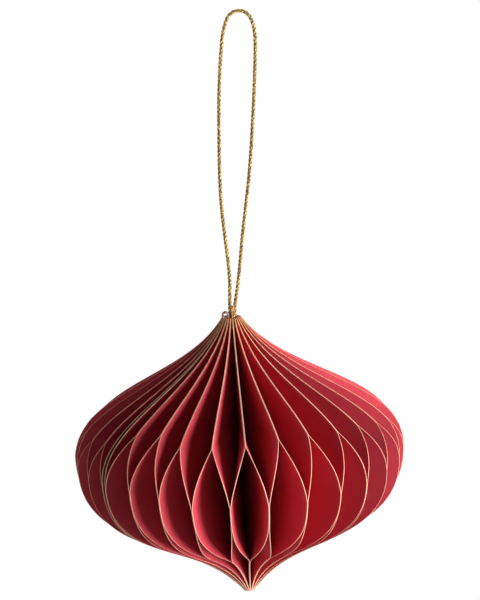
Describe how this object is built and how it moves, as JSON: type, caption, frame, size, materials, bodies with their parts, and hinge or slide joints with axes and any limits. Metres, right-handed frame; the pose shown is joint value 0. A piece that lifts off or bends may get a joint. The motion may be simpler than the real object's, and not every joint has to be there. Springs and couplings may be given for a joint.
{
  "type": "honeycomb paper ball ornament",
  "caption": "Hanging honeycomb paper ball of gilt-edged crimson leaves that flare from a pointed crown and close to a tip, on a twisted gold cord loop.",
  "frame": {"origin": "on the axis that the leaves are bound round, half way between the crown's top edge and the tip", "axes": "+Z along the axis towards the crown and the cord; -Y is the front, the side that the picture shows; +X to the right of it"},
  "size_m": [0.1098, 0.1098, 0.1972],
  "materials": {
    "leaf_paper": "matte",
    "cover_paper": "matte",
    "gold_cord": "satin",
    "knot_cord": "satin",
    "tie_thread": "satin"
  },
  "bodies": {
    "root": {"leaf_01": "leaf_paper", "leaf_02": "leaf_paper", "leaf_03": "leaf_paper", "leaf_04": "leaf_paper", "leaf_05": "leaf_paper", "leaf_06": "leaf_paper", "leaf_07": "leaf_paper", "leaf_08": "leaf_paper", "leaf_09": "leaf_paper", "leaf_10": "leaf_paper", "leaf_11": "leaf_paper", "leaf_12": "leaf_paper", "leaf_13": "leaf_paper", "leaf_14": "leaf_paper", "leaf_15": "leaf_paper", "leaf_16": "leaf_paper", "leaf_17": "leaf_paper", "leaf_18": "leaf_paper", "leaf_19": "leaf_paper", "leaf_20": "leaf_paper", "leaf_21": "leaf_paper", "leaf_22": "leaf_paper", "leaf_23": "leaf_paper", "leaf_24": "leaf_paper", "leaf_25": "leaf_paper", "leaf_26": "leaf_paper", "leaf_27": "leaf_paper", "leaf_28": "leaf_paper", "leaf_29": "leaf_paper", "leaf_30": "leaf_paper", "leaf_31": "leaf_paper", "leaf_32": "leaf_paper", "leaf_33": "leaf_paper", "leaf_34": "leaf_paper", "leaf_35": "leaf_paper", "leaf_36": "leaf_paper", "leaf_37": "leaf_paper", "leaf_38": "leaf_paper", "leaf_39": "leaf_paper", "leaf_40": "leaf_paper", "leaf_41": "leaf_paper", "leaf_42": "leaf_paper", "leaf_43": "leaf_paper", "leaf_44": "leaf_paper", "leaf_45": "leaf_paper", "leaf_46": "leaf_paper", "leaf_47": "leaf_paper", "leaf_48": "leaf_paper", "leaf_49": "leaf_paper", "leaf_50": "leaf_paper", "leaf_51": "leaf_paper", "leaf_52": "leaf_paper", "leaf_53": "leaf_paper", "leaf_54": "leaf_paper", "first_cover": "cover_paper", "last_cover": "cover_paper", "cord_loop": "gold_cord", "cord_knot": "knot_cord", "tie_thread": "tie_thread"}
  },
  "joints": []
}
